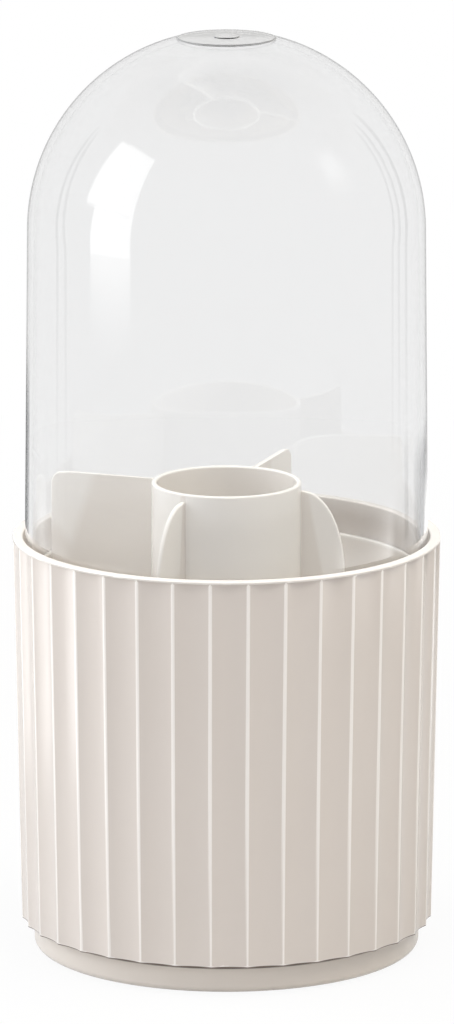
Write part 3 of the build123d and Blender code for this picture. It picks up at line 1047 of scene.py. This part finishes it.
def finish_of(
    name, colour, cloud, edge, gloss, grain, bump=0.0, cloud_scale=40.0, glow=0.5, shade_line=None, **own
):
    """An opaque finish: clouded colour, a painted highlight on edges, a painted shadow line, uneven gloss,
    fine grain.

    A shade line is its painted shade's colour and the heights, in millimetres, between which it comes
    up. What is left in own goes straight to the shader's sockets of the same names.
    """
    material, tree = new_material(name)
    shader = tree.nodes["Principled BSDF"]
    tone = place_group(
        tree, clouds, Colour=card(*colour), Cloud_Colour=card(*cloud), Scale=cloud_scale, Amount=CLOUD_AMOUNT
    )["Colour"]
    # Painted highlight: sharp rounded edges are mixed towards a paler colour.
    tone = place_group(tree, edge_highlight, Colour=tone, Edge_Colour=card(*edge), Amount=glow)["Colour"]
    # Painted shade: the shade line mixes a band of heights towards a dark colour.
    if shade_line:
        shade_colour, start, end = shade_line
        tone = place_group(
            tree,
            shade_line_group,
            Colour=tone,
            Joint_Colour=card(*shade_colour),
            From_Height=start * MM,
            To_Height=end * MM,
        )["Colour"]
    skin = place_group(tree, polish, Scale=grain, Smoothest=gloss[0], Roughest=gloss[1])
    feed(tree, shader.inputs["Base Color"], tone)
    feed(tree, shader.inputs["Roughness"], skin["Roughness"])
    if bump:
        tilt_normals(tree, shader, skin["Height"], bump)
    for label, value in own.items():
        shader.inputs[label].default_value = value
    return material


def coat_piece(piece, material):
    """Gives a piece one material all over."""
    piece.data.materials.clear()
    piece.data.materials.append(material)


print("finishes can be mixed")

# %% [markdown]
# The cup and the foot are one warm cream, moulded glossy, but the foot's copy is written paler
# than the cup's: painted light on the foot, which stands in the shade of the cup's skirt. The
# foot's mix leaves out the painted edge highlight, and its wall is straight and thick all round.
# Both have a painted shadow line where the cup's skirt turns over the foot. The divider is a
# paler, glossier white. The pads are soft grey rubber, the cage is natural nylon, and the metal
# pieces are bright. After its name, each finish gives in order its colour, the clouds' colour,
# the colour of its painted edge highlight, its least and greatest roughness, and the scale of
# its grain.

# %% Mix the opaque finishes
PLASTIC_IOR = 1.53

# The cup gets painted highlights on its arrises and a painted shadow line along its lowest edge.
cream = finish_of(
    "cream_gloss_plastic", (216, 208, 202), (211, 202, 195), (253, 250, 247), (0.17, 0.22), 120.0,
    shade_line=((118, 105, 96), cup_foot + 0.5, cup_foot + 0.25),
    cloud_scale=22.0, glow=0.66, IOR=PLASTIC_IOR,
)
# Painted light and shade: the cup's cream, written paler for the foot in the shade of the cup's skirt, and a
# painted shadow line at the top of the foot's wall.
foot_cream_painted_paler = finish_of(
    "cream_foot_plastic", (228, 220, 212), (222, 213, 204), (228, 220, 212), (0.2, 0.26), 120.0,
    shade_line=((98, 86, 78), DECK_TOP - 0.95, DECK_TOP - 0.5),
    cloud_scale=22.0, glow=0.0, IOR=PLASTIC_IOR,
)
white = finish_of(
    "white_gloss_plastic", (239, 234, 228), (234, 228, 220), (252, 250, 246), (0.1, 0.14), 140.0,
    cloud_scale=25.0, glow=0.7, IOR=PLASTIC_IOR,
)
rubber = finish_of(
    "soft_grey_rubber", (112, 110, 108), (96, 94, 92), (130, 128, 126), (0.62, 0.82), 2500.0,
    bump=0.5, glow=0.3,
)
nylon = finish_of(
    "natural_nylon", (233, 228, 212), (222, 215, 196), (244, 241, 230), (0.38, 0.5), 1200.0,
    bump=0.15, glow=0.4,
)
ball_steel = finish_of(
    "polished_ball_steel", (196, 198, 202), (182, 184, 190), (214, 216, 220), (0.06, 0.12), 1500.0,
    glow=0.0, Metallic=1.0,
)
plated = finish_of(
    "bright_zinc_plate", (190, 192, 194), (168, 172, 178), (216, 218, 220), (0.16, 0.34), 1800.0,
    bump=0.08, cloud_scale=300.0, glow=0.6, Metallic=1.0,
)

balls = [node for name, node in nodes.items() if name.startswith("bearing_ball")]
coats = (
    (foot_cream_painted_paler, [foot]), (cream, [cup]), (white, [divider]), (plated, [washer, screw]),
    (rubber, pads), (ball_steel, balls), (nylon, [nodes["ball_cage"]]),
)
for finish, pieces in coats:
    for piece in pieces:
        coat_piece(piece, finish)
print("opaque finishes", len(coats))

# %% [markdown]
# Clear plastic is a transmission shader: it mirrors a little at every skin and lets the rest
# through, bent. Its faint grey is set on the shader as the share of light that one wall lets
# pass. Real lamps shine straight through a thin cover, but a path tracer finds that hard, so
# rays from lamps and from diffuse surfaces meet a plain transparent shader instead. A slow, very
# shallow wave in the height gives the slight wander that a moulded cover's reflections have. On
# the disc on top a grey matt shader is mixed in as painted shade, darker on the step round it. It
# covers more the more aslant it's seen: it shows as a grey ellipse from the front, and hardly at
# all from straight above.

# %% Mix the clear finish
WANDER_BUMP = 0.02
DISC_SHADE = 0.8
STEP_SHADE = 1.0

clear, clear_tree = new_material("clear_moulded_plastic")
clear_shader = clear_tree.nodes["Principled BSDF"]
clear_shader.inputs["Base Color"].default_value = (0.923, 0.924, 0.925, 1.0)
clear_shader.inputs["IOR"].default_value = 1.59
clear_shader.inputs["Transmission Weight"].default_value = 1.0
wander = place_group(clear_tree, polish, Scale=14.0, Smoothest=0.008, Roughest=0.02)
feed(clear_tree, clear_shader.inputs["Roughness"], wander["Roughness"])
tilt_normals(clear_tree, clear_shader, wander["Height"], WANDER_BUMP)
disc_shade_places = place_group(clear_tree, disc_painted_shade, Disc_Radius=DISC_RADIUS * MM, Disc_Height=disc_top * MM)
slant = add(clear_tree, "LayerWeight", {"Blend": 0.5}).outputs["Facing"]


def paint_shade_over(under, colour, mask, share):
    """Lays a grey matt shader over another where a mask says so, as painted shade. It covers more when seen
    aslant.
    """
    painted_grey = add(clear_tree, "BsdfDiffuse", {"Color": colour}).outputs["BSDF"]
    strength = maths(clear_tree, "MULTIPLY", mask, share)
    return mix_shaders(clear_tree, maths(clear_tree, "MULTIPLY", strength, slant), under, painted_grey)


# Painted shade: a light grey on the disc and a darker grey on the step round it.
with_disc_shade = paint_shade_over(clear_shader.outputs["BSDF"], card(183, 184, 186), disc_shade_places["Disc"], DISC_SHADE)
with_step_shade = paint_shade_over(with_disc_shade, card(166, 167, 169), disc_shade_places["Step"], STEP_SHADE)
pass_through = add(clear_tree, "BsdfTransparent", {"Color": (0.975, 0.975, 0.975, 1.0)}).outputs["BSDF"]
ray = add(clear_tree, "LightPath").outputs
lamp_or_diffuse = maths(clear_tree, "MAXIMUM", ray["Is Shadow Ray"], ray["Is Diffuse Ray"])
surface(clear_tree, mix_shaders(clear_tree, lamp_or_diffuse, with_step_shade, pass_through))
coat_piece(dome, clear)
print("clear finish on", dome.name)

# %% [markdown]
# The studio is a pale floor, a pale world and soft lamps. Seen by the camera or through the clear
# cover, floor and world are plain white, so the white background costs the object no light. In a
# reflection they are a shade darker, as the sides of a studio are, which keeps the cover's flanks
# as even as its middle. For all other rays they are ordinary pale surfaces. The floor keeps a
# share of its real shading near the object, which so stands in its own soft shadow, and the
# share fades out with the distance.

# %% Lay the floor
FLOOR_REACH = 9.0
FLOOR_WHITE_SHARE = 0.93
FLOOR_SHADE_REACH = (0.1, 0.75)
REFLECTED_WHITE = 0.85

nothing_selected()
bpy.ops.mesh.primitive_plane_add(size=2 * FLOOR_REACH)
floor = bpy.context.object
floor.name = floor.data.name = "studio_floor"


def seen_directly(tree):
    """A value that is 1 for camera, glossy and transmitted rays and 0 for the others."""
    path = add(tree, "LightPath").outputs
    mirrored = maths(tree, "MAXIMUM", path["Is Camera Ray"], path["Is Glossy Ray"])
    return maths(tree, "MAXIMUM", mirrored, path["Is Transmission Ray"])


def white_level(tree):
    """How strong the plain white is: 1, or a shade less where a reflection shows it."""
    mirrored = add(tree, "LightPath").outputs["Is Reflection Ray"]
    return ramp(tree, mirrored, 0.0, 1.0, 1.0, REFLECTED_WHITE)


floor_paint, floor_tree = new_material("pale_floor")
floor_shader = floor_tree.nodes["Principled BSDF"]
floor_shader.inputs["Base Color"].default_value = card(217, 217, 217)
floor_shader.inputs["Roughness"].default_value = 0.9
floor_shader.inputs["Specular IOR Level"].default_value = 0.0
floor_glow = add(floor_tree, "Emission", {"Strength": white_level(floor_tree)}).outputs["Emission"]
floor_away = length_of(floor_tree, object_place(floor_tree))
floor_fade = ramp(floor_tree, floor_away, *FLOOR_SHADE_REACH, low=FLOOR_WHITE_SHARE, kind="SMOOTHSTEP")
floor_share = maths(floor_tree, "MULTIPLY", seen_directly(floor_tree), floor_fade)
surface(floor_tree, mix_shaders(floor_tree, floor_share, floor_shader.outputs["BSDF"], floor_glow))
coat_piece(floor, floor_paint)
print("floor", 2 * FLOOR_REACH, "m across")

# %% [markdown]
# The world does the same as the floor: plain white where it's seen, and a soft even light, weaker
# than the lamps, for everything else.

# %% Light the world
WORLD_LEVEL = 0.42

world = bpy.data.worlds.new("pale_studio")
world.use_nodes = True
bpy.context.scene.world = world
world_tree = world.node_tree
soft_light = world_tree.nodes["Background"]
soft_light.inputs["Color"].default_value = (0.99, 0.99, 1.0, 1.0)
soft_light.inputs["Strength"].default_value = WORLD_LEVEL
white_feeds = {"Color": (*PLAIN_WHITE, 1.0), "Strength": white_level(world_tree)}
plain_white = add(world_tree, "Background", white_feeds).outputs["Background"]
world_look = mix_shaders(
    world_tree, seen_directly(world_tree), soft_light.outputs["Background"], plain_white
)
feed(world_tree, world_tree.nodes["World Output"].inputs["Surface"], world_look)
print("world level", WORLD_LEVEL)

# %% [markdown]
# A lamp here is an area light, described the way a photographer would: how far round the object
# it stands from the camera, how high, how far off, how large, and how bright its face looks
# beside a white card. The key light stands low on the left. A warm one hangs high on the right, a
# weak large one fills the front from the left, and one hangs almost overhead. None of them is
# mirrored in the gloss: what the object mirrors is set up by itself in the next step, so that
# light and reflections can be tuned apart.

# %% Hang the lamps
TARGET = Vector((0.0, 0.0, 0.14))


def place_round(azimuth, elevation, distance):
    """A point round the target: azimuth from the camera's side, positive to its right, in degrees."""
    turn = math.radians(azimuth)
    rise = math.radians(elevation)
    return TARGET + distance * Vector((
        math.sin(turn) * math.cos(rise),
        -math.cos(turn) * math.cos(rise),
        math.sin(rise),
    ))


def lamp(name, azimuth, elevation, distance, width, height, level, colour=PLAIN_WHITE):
    """A rectangular soft light that faces the target, with the brightness of its face as level."""
    light = bpy.data.lights.new(name, "AREA")
    light.shape = "RECTANGLE"
    light.size = width
    light.size_y = height
    light.color = colour
    light.energy = level * math.pi * width * height
    holder = bpy.data.objects.new(name, light)
    bpy.context.scene.collection.objects.link(holder)
    holder.location = place_round(azimuth, elevation, distance)
    holder.rotation_euler = (TARGET - holder.location).to_track_quat("-Z", "Y").to_euler()
    holder.visible_camera = False
    holder.visible_glossy = False
    holder.visible_transmission = False
    print(name, round(light.energy, 2), "W")


lamp("key_light", -100.0, 20.0, 1.0, 0.65, 0.8, 4.3, (0.95, 0.98, 1.0))
lamp("warm_side_fill", 75.0, 58.0, 1.3, 0.9, 0.8, 4.6, (1.0, 0.94, 0.82))
lamp("front_fill", -35.0, 28.0, 1.6, 1.4, 1.0, 0.75, (1.0, 0.98, 0.98))
lamp("top_light", -10.0, 72.0, 1.2, 0.8, 0.8, 3.0)

# %% [markdown]
# Glossy and clear surfaces are lit by what they mirror. Bright cards on both sides stand for the
# studio's windows. Slim dark cards and a dark ring behind the cover draw its outline, the way a
# photographer lines a white tent with black strips so that clear plastic doesn't vanish in it.
# All of them show only in reflections and through the clear wall, and throw no light or shadow.

# %% Stand the cards round the object
KEY_LEVEL = 3.6
DARK = 0.03
COOL = (0.85, 0.93, 1.0)
HALF_CARD = 0.5


def soft_edges(tree, softness):
    """A mask that fades towards a card's four edges, over a share of its size."""
    axes = height_and_sides(tree, object_place(tree))
    fades = []
    for axis in "XY":
        away = maths(tree, "ABSOLUTE", axes[axis])
        fades.append(ramp(tree, away, HALF_CARD, HALF_CARD - softness, kind="SMOOTHSTEP"))
    return maths(tree, "MULTIPLY", *fades)


def mirrored_paint(name, colour, level, softness=0.0):
    """A card's own brightness, which only a reflected ray meets, with soft edges if asked for."""
    material, tree = new_material(name)
    tree.nodes.remove(tree.nodes["Principled BSDF"])
    glow = add(tree, "Emission", {"Color": (*colour, 1.0), "Strength": level}).outputs["Emission"]
    gone = add(tree, "BsdfTransparent").outputs["BSDF"]
    share = soft_edges(tree, softness) if softness else 1.0
    shown = maths(tree, "MULTIPLY", add(tree, "LightPath").outputs["Is Reflection Ray"], share)
    surface(tree, mix_shaders(tree, shown, gone, glow))
    return material


def only_mirrored(thing):
    """Lets a stage piece show in gloss and through the clear wall, and nowhere else."""
    thing.visible_camera = False
    thing.visible_diffuse = False
    thing.visible_shadow = False


def stand_card(name, azimuths, distance, width, heights, level, softness, colour=PLAIN_WHITE):
    """A flat card that faces the axis, from a lower azimuth and height to an upper one."""
    ends = []
    for azimuth, height in zip(azimuths, heights):
        end = place_round(azimuth, 0.0, distance)
        end.z = height
        ends.append(end)
    middle = (ends[0] + ends[1]) / 2
    along = (ends[1] - ends[0]).normalized()
    across = along.cross(Vector((-middle.x, -middle.y, 0.0))).normalized()
    nothing_selected()
    bpy.ops.mesh.primitive_plane_add(size=1.0, location=middle)
    thing = bpy.context.object
    thing.name = thing.data.name = name
    thing.rotation_euler = Matrix((across, along, across.cross(along))).transposed().to_euler()
    thing.scale = (width, (ends[1] - ends[0]).length, 1.0)
    coat_piece(thing, mirrored_paint(name, colour, level, softness))
    only_mirrored(thing)


stand_card("key_window_tall", (-69.0, -69.0), 1.02, 0.53, (0.0, 1.2), KEY_LEVEL, 0.06)
stand_card("key_window_high", (-73.5, -73.5), 1.0, 0.67, (0.38, 1.15), KEY_LEVEL, 0.1)
stand_card("right_window", (76.0, 76.0), 1.0, 0.5, (0.5, 1.2), 1.9, 0.45)
stand_card("left_strip_1", (-108.5, -116.0), 0.6, 0.034, (0.0, 0.64), DARK, 0.25)
stand_card("left_strip_2", (-99.5, -113.0), 0.6, 0.034, (0.0, 0.64), DARK, 0.25)
stand_card("right_strip_1", (105.0, 114.5), 0.6, 0.03, (0.0, 0.64), DARK, 0.25)
stand_card("right_strip_2", (112.0, 119.5), 0.6, 0.036, (0.0, 0.64), DARK, 0.25)
stand_card("right_strip_3", (120.5, 127.5), 0.6, 0.045, (0.0, 0.64), DARK, 0.25)
stand_card("low_card_right", (144.0, 144.0), 0.5, 0.31, (-0.01, 0.06), 0.05, 0.25, COOL)
stand_card("low_strip_right", (119.5, 119.5), 0.5, 0.05, (0.022, 0.065), DARK, 0.25)
stand_card("low_window_right", (84.0, 84.0), 0.5, 0.46, (-0.1, 0.044), 4.2, 0.2)
stand_card("near_window_left", (-104.0, -104.0), 0.2, 0.154, (0.0, 0.11), 2.6, 0.3)
stand_card("near_window_right", (150.0, 150.0), 0.2, 0.1, (0.0, 0.11), 2.2, 0.3)
stand_card("low_card_left", (-159.0, -159.0), 0.5, 0.21, (-0.06, 0.09), 0.08, 0.25, COOL)
print("cards stand round the object")

# %% [markdown]
# The ring hangs upright behind the object and faces the camera's side. With the dark strips, it
# draws the cover's outline.

# %% Hang the dark ring behind the cover
RING_DISTANCE = 0.55
RING_HEIGHT = 0.089
RING_INNER = 0.125
RING_OUTER = 0.225
RING_LEVEL = 0.62

nothing_selected()
bpy.ops.mesh.primitive_circle_add(vertices=128, radius=RING_INNER)
ring = bpy.context.object
ring.name = ring.data.name = "dark_ring"
bpy.ops.object.mode_set(mode="EDIT")
extrude_by(ORIGIN)
widen(RING_OUTER / RING_INNER)
bpy.ops.object.mode_set(mode="OBJECT")
ring.location = (0.0, RING_DISTANCE, RING_HEIGHT)
ring.rotation_euler.x = math.pi / 2
coat_piece(ring, mirrored_paint("dark_ring", PLAIN_WHITE, RING_LEVEL))
only_mirrored(ring)
print("ring hangs behind the object")

# %% [markdown]
# The camera stands where the photograph was taken from: in front of the object, well above it and
# far off, looking down by about 12.6 degrees through a long lens, which hardly narrows the cup
# towards its foot. It was found by fitting the round outlines, and is given here as its distance,
# pitch and focal length in pixels of the picture.

# %% Set up the camera
PICTURE_HEIGHT = 1024
FOCAL_PIXELS = 7701.0
CAMERA_DISTANCE = 2.2284
CAMERA_PITCH = math.radians(12.61)
AXIS_POINT = 0.13039
AIM = Vector((0.000145, 0.0, 0.129))
SENSOR = 36.0

lens = bpy.data.cameras.new("studio_camera")
lens.sensor_width = SENSOR
lens.lens = FOCAL_PIXELS * SENSOR / PICTURE_HEIGHT
lens.clip_start = 0.05
lens.clip_end = 50.0
camera = bpy.data.objects.new("studio_camera", lens)
bpy.context.scene.collection.objects.link(camera)
camera.location = (
    0.0,
    -CAMERA_DISTANCE * math.cos(CAMERA_PITCH),
    AXIS_POINT + CAMERA_DISTANCE * math.sin(CAMERA_PITCH),
)
camera.rotation_euler = (AIM - camera.location).to_track_quat("-Z", "Y").to_euler()
bpy.context.scene.camera = camera
bpy.context.scene.view_settings.view_transform = "Standard"
print("camera", [round(value, 4) for value in camera.location], "lens", round(lens.lens, 1))
